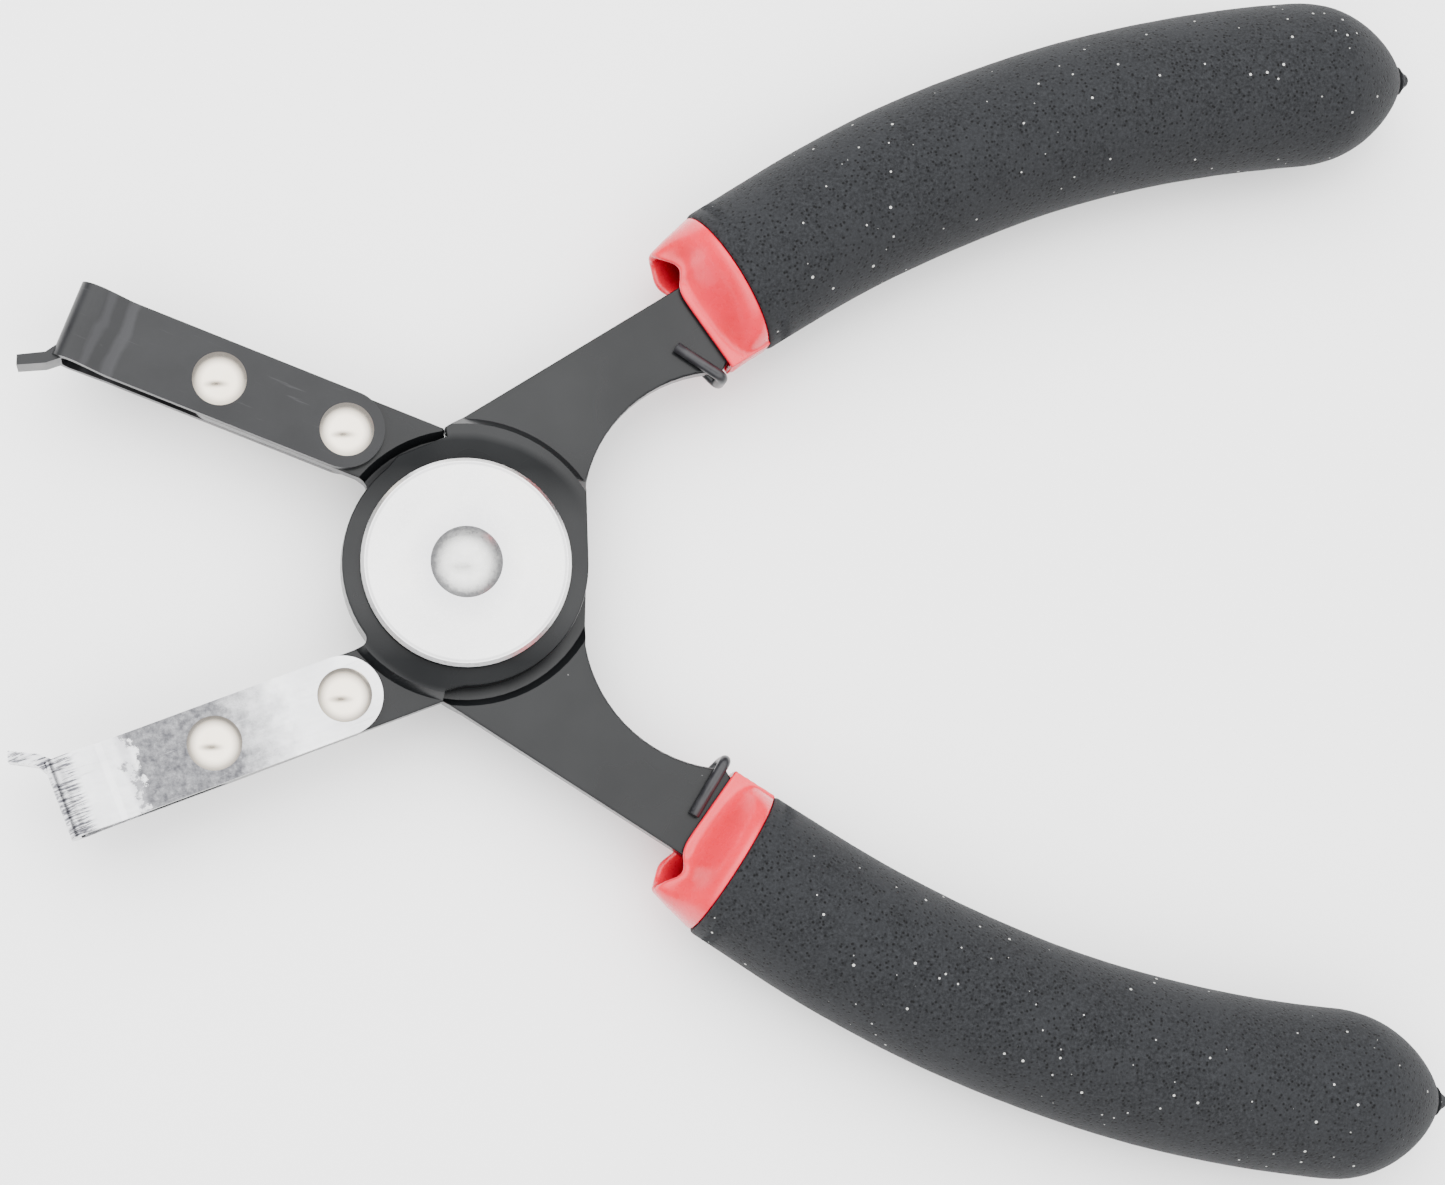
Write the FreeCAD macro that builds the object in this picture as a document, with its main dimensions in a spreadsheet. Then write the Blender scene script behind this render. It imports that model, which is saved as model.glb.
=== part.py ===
import FreeCAD, Part
import math
import os
import re

import Sketcher

from FreeCAD import Placement, Rotation, Vector

# Hook-jaw pliers for releasing clipped connectors.
# Two crossed pressed-steel levers turn on one rivet.  Each carries a folded sheet jaw held by two
# rivets at its short end, and a vinyl sleeve under a foam grip at its long end.  A torsion spring
# behind the hub pushes the handles apart.
#
# Frame: the origin is on the pivot axis, in the plane that the tool lies on: the flat closed end of
# the pivot rivet and the undersides of both grips.  +Z points to the front cover disc, +X to the
# handles, and at rest the tool is symmetric about the XZ plane.
#
# Pieces are drawn about the middle plane between the two lever hubs and lifted by REST.  The two
# levers are one pressing used twice: the rear one is the front one turned over about X, and its
# sleeve and grip are turned over with it.

doc = FreeCAD.newDocument("hook_jaw_pliers")

# ---------------------------------------------------------------------------------------------------
# Driving sizes, millimetres and degrees
# ---------------------------------------------------------------------------------------------------
SIZES = [
    # levers
    ("LeverThickness", 3.0, "thickness of the pressed levers"),
    ("HubRadius", 17.6, "round hub of each lever"),
    ("HubGap", 0.1, "running clearance between the two hubs"),
    ("RimOverhang", 0.9, "how far the raised plate reaches past the hub, over the other lever"),
    ("RimClearance", 0.1, "from the raised plate to the foot of the other lever's step"),
    ("HandleFootMargin", 0.7, "extra reach of the handle step's foot, so that the closing arms clear"),
    ("HandleStepSetback", 2.6, "from the hub's rim to the front of the step down to the handle arm"),
    ("StepRun", 1.0, "radial run of a step"),
    ("StepShift", 0.2, "how much further out the front of the jaw arm's step lies than its back"),
    ("EdgeRounding", 0.3, "rounded edges of the pressing"),
    ("NotchRadius", 1.2, "inner corner between the hub and the jaw arm"),
    ("StopAngle", 98.9, "direction of the open stop, where the crossed arms meet"),
    ("StopGap", 0.15, "half the angle left between the stop faces at rest"),
    # handle arm, measured along and across the handle direction from the pivot
    ("HandleAngle", 32.5, "direction of the handle arm"),
    ("ArmOutset", 0.6, "how far the arm's straight outer edge lies outside the hub's rim"),
    ("NeckSetback", 3.1, "from the hub's rim to where the arm's hollowed inner edge starts"),
    ("NeckStartEdge", 0.3, "inner edge at that place"),
    ("NeckRadius", 21.2, "hollow of the arm's inner edge"),
    ("NeckMargin", 0.7, "from the end of the hollow to the sleeve's mouth"),
    ("NeckEndEdge", 4.4, "inner edge at that place"),
    ("GripAxis", 15.2, "pivot axis to the straight run of the grip's axis"),
    ("BladeWidth", 16.0, "width of the lever inside its sleeve"),
    ("BladeTaper", 1.0, "from the sleeve's mouth to where the lever's outer edge starts to widen"),
    ("BladeLeadIn", 4.6, "from the sleeve's mouth to where the lever has its full width"),
    ("BendStart", 66.9, "where the grip's axis starts to curve"),
    ("BendRadius", 180.0, "radius of the grip's axis"),
    ("BendAngle", 27.9, "turn of the grip's axis"),
    # jaw arm, measured along and across the jaw direction from the pivot
    ("JawAngle", 21.0, "jaw direction from the tool's centre line"),
    ("JawInset", 0.3, "how far the jaw arm's outer edge lies inside the hub's rim"),
    ("JawWidth", 11.3, "width of the jaws and of the arms that carry them"),
    ("HeelClearance", 0.065, "from the foot of the hub's step to the round heel of a jaw"),
    ("JawRivetPitch", 19.3, "distance between a jaw's two rivets"),
    # folded jaws
    ("SheetThickness", 1.4, "jaw sheet"),
    ("JawReach", 42.2, "inner jaw rivet to the end wall of the jaw"),
    ("CrankSetback", 7.8, "from the foot of the front leaf's crank to the end wall"),
    ("CrankRun", 4.2, "length of the crank"),
    ("CrankRise", 1.8, "how far the crank lifts the front leaf"),
    ("FlareDrop", 1.0, "how far the back leaf flares away at the tip"),
    ("FoldRadius", 2.4, "outer radius of the folds at the tip"),
    ("CrankBend", 2.5, "bend radius of the crank"),
    ("ProngLength", 4.4, "how far the prong stands out past the end wall"),
    ("ProngSpread", 3.3, "how far the prong stands in from the jaw's edge"),
    ("ProngRoot", 0.9, "length of the bend on the prong's inner face"),
    ("ProngHeel", 0.3, "end wall to the bend on the prong's outer face"),
    ("ProngHeelSpread", 1.5, "how far that bend stands in from the jaw's edge"),
    ("ProngTip", 0.5, "how far the prong's end is cut back"),
    ("ProngTop", 3.0, "upper edge of the prong"),
    ("ProngBottom", -2.2, "lower edge of the prong"),
    # rivets, discs, bush
    ("JawShankRadius", 2.2, "jaw rivet shank"),
    ("JawHeadRadius", 3.85, "jaw rivet head"),
    ("JawHeadHeight", 1.35, "jaw rivet dome"),
    ("JawTailHeight", 1.0, "jaw rivet closed end"),
    ("PivotRadius", 4.0, "pivot rivet shank"),
    ("PivotClearance", 0.05, "radial clearance of the lever bores on the shank"),
    ("PivotHeadRadius", 5.15, "pivot rivet dome"),
    ("PivotHeadHeight", 2.1, "height of that dome"),
    ("PivotTailRadius", 6.0, "closed end of the pivot rivet"),
    ("PivotTailHeight", 1.55, "height of that end"),
    ("TailBevel", 0.45, "bevel of a rivet's closed end"),
    ("DiscRadius", 15.0, "front cover disc"),
    ("DiscThickness", 1.4, "front cover disc"),
    ("BackDiscRadius", 12.5, "rear cover disc"),
    ("BackDiscThickness", 1.2, "rear cover disc"),
    ("DiscBevel", 0.5, "bevel round the discs"),
    ("FaceGap", 0.05, "gap between faces that turn on each other"),
    ("BushWall", 2.2, "wall of the spring's bush"),
    # spring
    ("WireRadius", 0.85, "spring wire"),
    ("CoilClearance", 0.25, "between the bush and the coil"),
    ("CoilPitch", 1.78, "rise of the coil in one turn"),
    ("CoilTurns", 2, "whole turns of the coil, besides the part turn between the legs"),
    ("LegSplay", 3.0, "how far the leg turns out from the handle direction"),
    ("LegRise", 23.0, "where the leg starts to rise to the arm"),
    ("LegTurnSetback", 1.4, "from where the leg turns in to its hook"),
    ("HookSetback", 1.4, "from the hook round the arm's inner edge to the sleeve's mouth"),
    ("FrontHookReturn", 7.4, "how far the front leg's hook comes back across the arm"),
    ("FrontHookSlant", 3.4, "how far that hook leans back towards the hub"),
    ("RearHookReturn", 9.2, "how far the rear leg's hook comes back across the arm"),
    ("RearHookSlant", -0.3, "how far that hook leans back towards the hub"),
    ("LegBend", 12.0, "bend of the leg where it starts to rise"),
    ("HookTurn", 2.5, "bend of the leg where it turns to its hook"),
    ("HookBend", 1.0, "bends of the hook round the arm"),
    ("HookClearance", 0.06, "between the wire and the arm"),
    # sleeve and grip
    ("SleeveMouth", 47.9, "where the sleeve starts, along the handle"),
    ("SleeveMouthAxis", 14.0, "middle of the sleeve's mouth, across the handle"),
    ("SleeveMouthWidth", 20.8, "width of the sleeve's mouth"),
    ("SleeveMouthHeight", 9.0, "height of the sleeve's mouth"),
    ("CollarWidth", 22.4, "width of the sleeve where the foam starts"),
    ("CollarHeight", 18.0, "height of the sleeve where the foam starts"),
    ("SleeveWall", 1.6, "sleeve wall round the blade"),
    ("SleeveLap", 1.0, "how far the sleeve's tube runs into its collar"),
    ("SleeveEnd", 9.8, "how far the sleeve runs past the bend"),
    ("SleeveFit", 0.05, "gap between the blade and the sleeve"),
    ("CollarLength", 7.5, "bare length of the sleeve in front of the foam"),
    ("FoamRadius", 11.7, "foam grip"),
    ("FoamEnd", 14.2, "how far the foam runs past the bend"),
    ("FoamFit", 0.05, "gap between the sleeve and the foam"),
    ("FoamRounding", 9.5, "rounding of the foam's closed end"),
    ("FoamLip", 1.2, "rounding of the foam's mouth"),
]

sheet = doc.addObject("Spreadsheet::Sheet", "Sizes")
for row, (alias, value, note) in enumerate(SIZES, start=1):
    sheet.set(f"A{row}", note)
    sheet.set(f"B{row}", str(value))
    sheet.setAlias(f"B{row}", alias)
doc.recompute()

ALIAS_WORDS = re.compile(r"\b(" + "|".join(alias for alias, _, _ in SIZES) + r")\b")


def cells(text):
    """Turn a formula in plain alias names into one that names the sheet."""
    return ALIAS_WORDS.sub(r"Sizes.\1", re.sub(r"(sin|cos|tan|sqrt) \(", r"\1(", text))


def value(text):
    """The number that a formula gives."""
    return float(sheet.evalExpression(cells(text)))


# ---------------------------------------------------------------------------------------------------
# Places worked out from the driving sizes
# ---------------------------------------------------------------------------------------------------
HUB_BACK = "HubGap / 2"
HUB_FRONT = "HubGap / 2 + LeverThickness"
ARM_FRONT = "LeverThickness / 2"
ARM_BACK = "-LeverThickness / 2"
LEVER_STACK = f"{HUB_FRONT} + LeverThickness / 2"
DISC_BACK = f"{HUB_FRONT} + FaceGap"
DISC_FRONT = f"{DISC_BACK} + DiscThickness"
COIL_RADIUS = "( PivotRadius + BushWall + CoilClearance + WireRadius )"
LEG_ANGLE = "( HandleAngle + LegSplay )"
COIL_TURN = "( CoilTurns * 360 + 180 - 2 * ( HandleAngle + LegSplay ) )"
COIL_FRONT = f"( 0 - ( {HUB_FRONT} ) - FaceGap - WireRadius )"
COIL_BACK = f"( {COIL_FRONT} - CoilPitch * {COIL_TURN} / 360 )"
BUSH_FRONT = f"( 0 - ( {HUB_FRONT} ) - FaceGap )"
BUSH_BACK = f"( {COIL_BACK} - WireRadius - FaceGap )"
BACK_DISC_BACK = f"( {BUSH_BACK} - BackDiscThickness )"
RIM_REACH = "( HubRadius + RimOverhang )"
STEP_FOOT = f"{RIM_REACH} + RimClearance"
HANDLE_FOOT = f"( {STEP_FOOT} + HandleFootMargin )"
HANDLE_STEP = "( HubRadius + HandleStepSetback )"
ARM_OUTER_EDGE = "( HubRadius + ArmOutset )"
NECK_START = "( HubRadius + NeckSetback )"
NECK_END = "( SleeveMouth - NeckMargin )"
BLADE_START = "( SleeveMouth + BladeLeadIn )"
FOAM_START = "( SleeveMouth + CollarLength )"
JAW_OUTER_EDGE = "( HubRadius - JawInset )"
JAW_INNER_EDGE = "( HubRadius - JawInset - JawWidth )"
JAW_AXIS = "( HubRadius - JawInset - JawWidth / 2 )"
JAW_RIVET_PLACE = f"( {STEP_FOOT} + StepRun + StepShift + JawWidth / 2 + HeelClearance )"
JAW_RIVET_START = f"( sqrt ( {JAW_RIVET_PLACE} ^ 2 - {JAW_AXIS} ^ 2 ) )"
JAW_RIVET_END = f"( {JAW_RIVET_START} + JawRivetPitch )"
CRANK_START = "( JawReach - CrankSetback )"
CRANK_END = "( JawReach - CrankSetback + CrankRun )"
HOOK_PLACE = "( SleeveMouth - HookSetback )"
LEG_TURN = "( SleeveMouth - HookSetback - LegTurnSetback )"

REST = value(f"0 - {BACK_DISC_BACK} + PivotTailHeight")
AS_MADE = Placement(Vector(0, 0, REST), Rotation())
TURNED_OVER = Placement(Vector(0, 0, REST), Rotation(Vector(1, 0, 0), 180))


# ---------------------------------------------------------------------------------------------------
# Drawing helpers
# ---------------------------------------------------------------------------------------------------
def new_body(name):
    body = doc.addObject("PartDesign::Body", name)
    body.Label = name
    return body


def sketch_on(body, name, role, origin=("0", "0", "0"), turn_axis=Vector(0, 0, 1), turn="0"):
    """A sketch on one of the body's origin planes, moved and turned in that plane's own frame."""
    sketch = body.newObject("Sketcher::SketchObject", name)
    plane = next(item for item in body.Origin.OriginFeatures if item.Role == role)
    sketch.AttachmentSupport = [(plane, "")]
    sketch.MapMode = "FlatFace"
    base = Vector(*[value(text) for text in origin])
    sketch.AttachmentOffset = Placement(base, Rotation(turn_axis, value(turn)))
    for axis, text in zip("xyz", origin):
        if text != "0":
            sketch.setExpression(f"AttachmentOffset.Base.{axis}", cells(text))
    if turn != "0":
        sketch.setExpression("AttachmentOffset.Rotation.Angle", cells(turn))
    return sketch


def arc_through(start, end, radius, side):
    """The shorter arc of that radius from start to end, bulging to the left (side 1) or right (-1)."""
    chord = end - start
    half = chord.Length / 2
    left = Vector(-chord.y, chord.x, 0).normalize()
    rise = radius - math.sqrt(max(radius * radius - half * half, 0))
    return Part.Arc(start, (start + end) / 2 + left * rise * side, end)


def outline(sketch, corners, arcs=None, closed=True):
    """Draw runs between corners, which are pairs of formulas.  Arcs gives (radius, side) per run."""
    arcs = arcs or {}
    points = [Vector(value(x), value(y), 0) for x, y in corners]
    first = sketch.GeometryCount
    count = len(points)
    runs = range(count if closed else count - 1)
    for run in runs:
        start, end = points[run], points[(run + 1) % count]
        if run in arcs:
            radius, side = arcs[run]
            arc = arc_through(start, end, value(radius), side)
            sketch.addGeometry(arc, False)
        else:
            sketch.addGeometry(Part.LineSegment(start, end), False)
    ends = []
    for run in runs:
        begins_here = (sketch.getPoint(first + run, 1) - points[run]).Length < 1e-6
        ends.append((1, 2) if begins_here else (2, 1))
        pin(sketch, first + run, ends[run][0], *corners[run])
    for run in runs if closed else runs[:-1]:
        after = (run + 1) % count
        link = Sketcher.Constraint("Coincident", first + run, ends[run][1], first + after, ends[after][0])
        sketch.addConstraint(link)
    if not closed:
        pin(sketch, first + runs[-1], ends[-1][1], *corners[-1])
    for run, (radius, _) in arcs.items():
        index = sketch.addConstraint(Sketcher.Constraint("Radius", first + run, value(radius)))
        sketch.setExpression(f"Constraints[{index}]", cells(radius))


def pin(sketch, geometry, point, x, y):
    """Hold a point at the place that two formulas give."""
    for kind, text in (("DistanceX", x), ("DistanceY", y)):
        number = value(text)
        index = sketch.addConstraint(Sketcher.Constraint(kind, -1, 1, geometry, point, number))
        if any(char.isalpha() for char in text):
            sketch.setExpression(f"Constraints[{index}]", cells(text))


def circle(sketch, x, y, radius):
    shape = Part.Circle(Vector(value(x), value(y), 0), Vector(0, 0, 1), value(radius))
    geometry = sketch.addGeometry(shape)
    pin(sketch, geometry, 3, x, y)
    index = sketch.addConstraint(Sketcher.Constraint("Radius", geometry, value(radius)))
    sketch.setExpression(f"Constraints[{index}]", cells(radius))


def pad(body, sketch, length, midplane=False):
    feature = body.newObject("PartDesign::Pad", f"{sketch.Name}_pad")
    feature.Profile = sketch
    feature.Midplane = midplane
    feature.setExpression("Length", cells(length))
    sketch.Visibility = False
    doc.recompute()
    return feature


def cut(body, feature, profile_name):
    """Recompute after a cutting feature and make sure that it removed something."""
    before = feature.BaseFeature.Shape.Volume
    doc.recompute()
    if not feature.Shape.Volume < before - 1e-6:
        raise RuntimeError(f"{body.Label}: {profile_name} cuts nothing")
    return feature


def pocket(body, sketch):
    """Cut the sketch's shape through everything, both ways."""
    feature = body.newObject("PartDesign::Pocket", f"{sketch.Name}_pocket")
    feature.Profile = sketch
    feature.Type = "ThroughAll"
    feature.Midplane = True
    return cut(body, feature, sketch.Name)


def groove(body, sketch, angle):
    """Turn the sketch about its own upright axis, half the angle to each side, and cut it away."""
    feature = body.newObject("PartDesign::Groove", f"{sketch.Name}_groove")
    feature.Profile = sketch
    feature.ReferenceAxis = (sketch, ["V_Axis"])
    feature.Midplane = True
    feature.Angle = angle
    return cut(body, feature, sketch.Name)


def revolve(body, sketch):
    feature = body.newObject("PartDesign::Revolution", f"{sketch.Name}_turned")
    feature.Profile = sketch
    feature.ReferenceAxis = (sketch, ["V_Axis"])
    feature.Angle = 360
    doc.recompute()
    return feature


def fillet(body, name, radius, chosen):
    """Round the edges of the body's last feature that the test picks."""
    doc.recompute()
    base = body.Tip
    names = [f"Edge{i}" for i, edge in enumerate(base.Shape.Edges, start=1) if chosen(edge)]
    if not names:
        raise RuntimeError(f"{body.Label}: nothing to round for {name}")
    feature = body.newObject("PartDesign::Fillet", name)
    feature.Base = (base, names)
    feature.setExpression("Radius", cells(radius))
    doc.recompute()
    return feature


def turned(across, along, angle):
    """Formulas for a point given along and across a direction, in the tool's own frame."""
    x = f"( ( {along} ) * cos ( {angle} ) - ( {across} ) * sin ( {angle} ) )"
    y = f"( ( {along} ) * sin ( {angle} ) + ( {across} ) * cos ( {angle} ) )"
    return x, y


# ---------------------------------------------------------------------------------------------------
# Levers
# ---------------------------------------------------------------------------------------------------
# Each step is pressed within a sector about the pivot: the direction of its middle and its angle.
SECTOR_OF_HANDLE = ("58", 205)
SECTOR_OF_JAW = ("0 - 125", 112)
SLACK = "2"  # how far a cutting shape reaches past what it cuts
FAR = "260"  # a radius beyond the end of every arm


def step(body, name, front_start, back_start, sector):
    """Press the arm down from the hub: cut away what lies in front of the arm and behind the hub."""
    middle, angle = sector
    over = sketch_on(body, f"{name}_front", "XZ_Plane", turn_axis=Vector(0, 1, 0), turn=middle)
    outline(over, [
        (front_start, HUB_FRONT),
        (f"{front_start} + StepRun", ARM_FRONT),
        (FAR, ARM_FRONT),
        (FAR, f"{HUB_FRONT} + {SLACK}"),
        (front_start, f"{HUB_FRONT} + {SLACK}"),
    ])
    groove(body, over, angle)
    under = sketch_on(body, f"{name}_back", "XZ_Plane", turn_axis=Vector(0, 1, 0), turn=middle)
    outline(under, [
        ("0", HUB_BACK),
        (back_start, HUB_BACK),
        (f"{back_start} + StepRun", ARM_BACK),
        (f"{back_start} + StepRun", f"{ARM_BACK} - {SLACK}"),
        ("0", f"{ARM_BACK} - {SLACK}"),
    ])
    groove(body, under, angle)


def inner_corner(edge):
    """The upright edge where the jaw arm's inner side runs into the hub."""
    angle = value("180 + JawAngle")
    across = value(JAW_INNER_EDGE)
    along = math.sqrt(value("HubRadius") ** 2 - across ** 2)
    x, y = (value(text) for text in turned(str(across), str(along), str(angle)))
    spot = Vector(x, y, edge.CenterOfMass.z)
    upright = abs(edge.BoundBox.ZLength - edge.Length) < 1e-3
    return upright and (edge.CenterOfMass - spot).Length < 0.1


def rim_at(level):
    """Outline edges at that height, but not the holes, the steps or the slivers at the stop faces."""
    def chosen(edge):
        if abs(edge.BoundBox.ZMin - level) > 1e-4 or abs(edge.BoundBox.ZMax - level) > 1e-4:
            return False
        is_arc = edge.Curve.TypeId == "Part::GeomCircle"
        if is_arc and edge.Curve.Center.Length < abs(level) + 1e-3:
            return abs(edge.Curve.Radius - value("HubRadius")) < 1e-3
        is_hole = is_arc and edge.Curve.Radius < value("JawShankRadius") + 1e-3
        return not is_hole and edge.Length > value("EdgeRounding")
    return chosen


def lever(name, placement):
    body = new_body(name)

    # Handle arm: straight outer edge, hollowed inner edge, then a broad blade that follows the grip.
    stop = "( 90 + HandleAngle - StopAngle + StopGap )"
    rim_in = "( StopAngle - HandleAngle - StopGap )"
    handle = sketch_on(body, f"{name}_handle", "XY_Plane", origin=("0", "0", ARM_BACK), turn="HandleAngle")
    bend_x = "( BendRadius + {0} BladeWidth / 2 ) * sin ( BendAngle ) + BendStart"
    bend_y = "( BendRadius + {0} BladeWidth / 2 ) * cos ( BendAngle ) + GripAxis - BendRadius"
    outline(handle, [
        ("0", "0"),
        ("HubRadius * cos ( HandleAngle )", "0 - HubRadius * sin ( HandleAngle )"),
        (NECK_START, "NeckStartEdge"),
        (NECK_END, "NeckEndEdge"),
        (BLADE_START, "GripAxis - BladeWidth / 2"),
        ("BendStart", "GripAxis - BladeWidth / 2"),
        (bend_x.format("-1 *"), bend_y.format("-1 *")),
        (bend_x.format("1 *"), bend_y.format("1 *")),
        ("BendStart", "GripAxis + BladeWidth / 2"),
        (BLADE_START, "GripAxis + BladeWidth / 2"),
        ("SleeveMouth + BladeTaper", ARM_OUTER_EDGE),
        (f"{ARM_OUTER_EDGE} * tan {stop}", ARM_OUTER_EDGE),
        (f"{RIM_REACH} * cos {rim_in}", f"{RIM_REACH} * sin {rim_in}"),
        ("0", ARM_OUTER_EDGE),
        ("HubRadius * cos ( 120 )", "HubRadius * sin ( 120 )"),
    ], arcs={
        2: ("NeckRadius", 1),
        5: ("BendRadius - BladeWidth / 2", 1),
        6: ("BladeWidth / 2 * 1.001", -1),
        7: ("BendRadius + BladeWidth / 2", 1),
    })
    pad(body, handle, LEVER_STACK)
    step(body, f"{name}_handle_step", HANDLE_STEP, HANDLE_FOOT, SECTOR_OF_HANDLE)

    # Jaw arm: a straight strip with a full round end about the outer jaw rivet.
    jaw_stop = "( StopAngle + StopGap - 90 + JawAngle )"
    jaw_rim = "( 180 - JawAngle - StopAngle - StopGap )"
    jaw = sketch_on(body, f"{name}_jaw", "XY_Plane", origin=("0", "0", ARM_BACK), turn="180 + JawAngle")
    outline(jaw, [
        ("0", "0"),
        ("0", JAW_OUTER_EDGE),
        (f"{RIM_REACH} * cos {jaw_rim}", f"{RIM_REACH} * sin {jaw_rim}"),
        (f"{JAW_OUTER_EDGE} * tan {jaw_stop}", JAW_OUTER_EDGE),
        (JAW_RIVET_END, JAW_OUTER_EDGE),
        (JAW_RIVET_END, JAW_INNER_EDGE),
        ("0", JAW_INNER_EDGE),
    ], arcs={4: ("JawWidth / 2 * 1.001", 1)})
    pad(body, jaw, LEVER_STACK)
    step(body, f"{name}_jaw_step", f"{STEP_FOOT} + StepShift", STEP_FOOT, SECTOR_OF_JAW)

    hub = sketch_on(body, f"{name}_hub", "XY_Plane", origin=("0", "0", HUB_BACK))
    circle(hub, "0", "0", "HubRadius")
    pad(body, hub, "LeverThickness")

    holes = sketch_on(body, f"{name}_holes", "XY_Plane")
    circle(holes, "0", "0", "PivotRadius + PivotClearance")
    for along in (JAW_RIVET_START, JAW_RIVET_END):
        x, y = turned(JAW_AXIS, along, "180 + JawAngle")
        circle(holes, x, y, "JawShankRadius")
    pocket(body, holes)
    fillet(body, f"{name}_notch", "NotchRadius", inner_corner)
    for label, level in (("hub", HUB_FRONT), ("front", ARM_FRONT), ("back", ARM_BACK)):
        fillet(body, f"{name}_{label}_edges", "EdgeRounding", rim_at(value(level)))
    body.Placement = placement


# ---------------------------------------------------------------------------------------------------
# Folded jaws
# ---------------------------------------------------------------------------------------------------
def jaw(name, side):
    """A strip folded round the tip of the arm.  Side is 1 for the upper jaw and -1 for the lower."""
    body = new_body(name)
    angle = f"{side} * ( 180 - JawAngle )"
    root_x, root_y = turned(f"{-side} * {JAW_AXIS}", JAW_RIVET_START, angle)

    # Side view of the strip, along the jaw from the inner rivet: outer face out, inner face back.
    front = f"{ARM_FRONT} + SheetThickness"
    back = f"{ARM_BACK} - SheetThickness"
    end = "JawReach"
    inner_end = "JawReach - SheetThickness"
    heel = "0 - JawWidth / 2"
    strip = sketch_on(body, f"{name}_strip", "XZ_Plane")
    outline(strip, [
        (heel, front),
        (heel, ARM_FRONT),
        (CRANK_START, ARM_FRONT),
        (CRANK_END, f"{ARM_FRONT} + CrankRise"),
        (inner_end, f"{ARM_FRONT} + CrankRise"),
        (inner_end, f"{ARM_BACK} - FlareDrop"),
        (CRANK_START, ARM_BACK),
        (heel, ARM_BACK),
        (heel, back),
        (CRANK_START, back),
        (end, f"{back} - FlareDrop"),
        (end, f"{front} + CrankRise"),
        (CRANK_END, f"{front} + CrankRise"),
        (CRANK_START, front),
    ])
    pad(body, strip, "JawWidth", midplane=True)

    def fold_at(x, z, tolerance=0.05):
        def chosen(edge):
            ends = [vertex.Point for vertex in edge.Vertexes]
            return len(ends) == 2 and all(
                math.hypot(point.x - value(x), point.z - value(z)) < tolerance for point in ends)
        return chosen

    folds = [
        ("tip_front", "FoldRadius", end, f"{front} + CrankRise"),
        ("tip_back", "FoldRadius", end, f"{back} - FlareDrop"),
        ("tip_front_inside", "FoldRadius - SheetThickness", inner_end, f"{ARM_FRONT} + CrankRise"),
        ("tip_back_inside", "FoldRadius - SheetThickness", inner_end, f"{ARM_BACK} - FlareDrop"),
        ("crank_foot", "CrankBend", CRANK_START, front),
        ("crank_foot_inside", "CrankBend", CRANK_START, ARM_FRONT),
        ("crank_top", "CrankBend", CRANK_END, f"{front} + CrankRise"),
        ("crank_top_inside", "CrankBend", CRANK_END, f"{ARM_FRONT} + CrankRise"),
    ]
    for label, radius, x, z in folds:
        fillet(body, f"{name}_{label}", radius, fold_at(x, z))

    # Full round heel about the inner rivet, cut in plan.
    edge = "JawWidth / 2"
    corner = "JawWidth"
    heel_cut = sketch_on(body, f"{name}_heel", "XY_Plane")
    outline(heel_cut, [
        ("0", edge),
        ("0", corner),
        (f"0 - {corner}", corner),
        (f"0 - {corner}", f"0 - {corner}"),
        ("0", f"0 - {corner}"),
        ("0", f"0 - {edge}"),
    ], arcs={5: ("JawWidth / 2 * 1.001", 1)})
    pocket(body, heel_cut)

    # Prong: the inner edge of the end wall, bent forward.
    prong = sketch_on(body, f"{name}_prong", "XY_Plane", origin=("0", "0", "ProngBottom"))
    prong_end = "JawReach + ProngLength"
    outline(prong, [
        (inner_end, f"{side} * ( JawWidth / 2 )"),
        (inner_end, f"{side} * ( JawWidth / 2 - SheetThickness )"),
        (end, f"{side} * ( JawWidth / 2 - SheetThickness )"),
        (f"{end} + ProngRoot", f"{side} * ( JawWidth / 2 )"),
        (prong_end, f"{side} * ( JawWidth / 2 + ProngSpread - SheetThickness )"),
        (f"{prong_end} - ProngTip", f"{side} * ( JawWidth / 2 + ProngSpread )"),
        (f"{end} + ProngHeel", f"{side} * ( JawWidth / 2 + ProngHeelSpread )"),
    ])
    pad(body, prong, "ProngTop - ProngBottom")

    holes = sketch_on(body, f"{name}_holes", "XY_Plane")
    circle(holes, "0", "0", "JawShankRadius")
    circle(holes, "JawRivetPitch", "0", "JawShankRadius")
    pocket(body, holes)
    body.Placement = Placement(Vector(value(root_x), value(root_y), REST),
                               Rotation(Vector(0, 0, 1), value(angle)))


# ---------------------------------------------------------------------------------------------------
# Turned pieces
# ---------------------------------------------------------------------------------------------------
def dome_radius(half_width, height):
    return f"( ( ( {half_width} ) ^ 2 + ( {height} ) ^ 2 ) / ( 2 * ( {height} ) ) )"


def rivet(name, shank, bottom, top, head, head_height, tail, tail_height, along=None, side=1):
    """A shank with a domed head in front and a flat closed end behind, turned as one piece."""
    body = new_body(name)
    section = sketch_on(body, f"{name}_section", "XZ_Plane")
    outline(section, [
        ("0", f"{bottom} - {tail_height}"),
        (f"{tail} - 2 * TailBevel", f"{bottom} - {tail_height}"),
        (tail, f"{bottom} - {tail_height} + TailBevel"),
        (tail, bottom),
        (shank, bottom),
        (shank, top),
        (head, top),
        ("0", f"{top} + {head_height}"),
    ], arcs={6: (dome_radius(head, head_height), -1)})
    revolve(body, section)
    place = Vector(0, 0, REST)
    if along:
        x, y = turned(f"{-side} * {JAW_AXIS}", along, f"{side} * ( 180 - JawAngle )")
        place = Vector(value(x), value(y), REST)
    body.Placement = Placement(place, Rotation())


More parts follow.
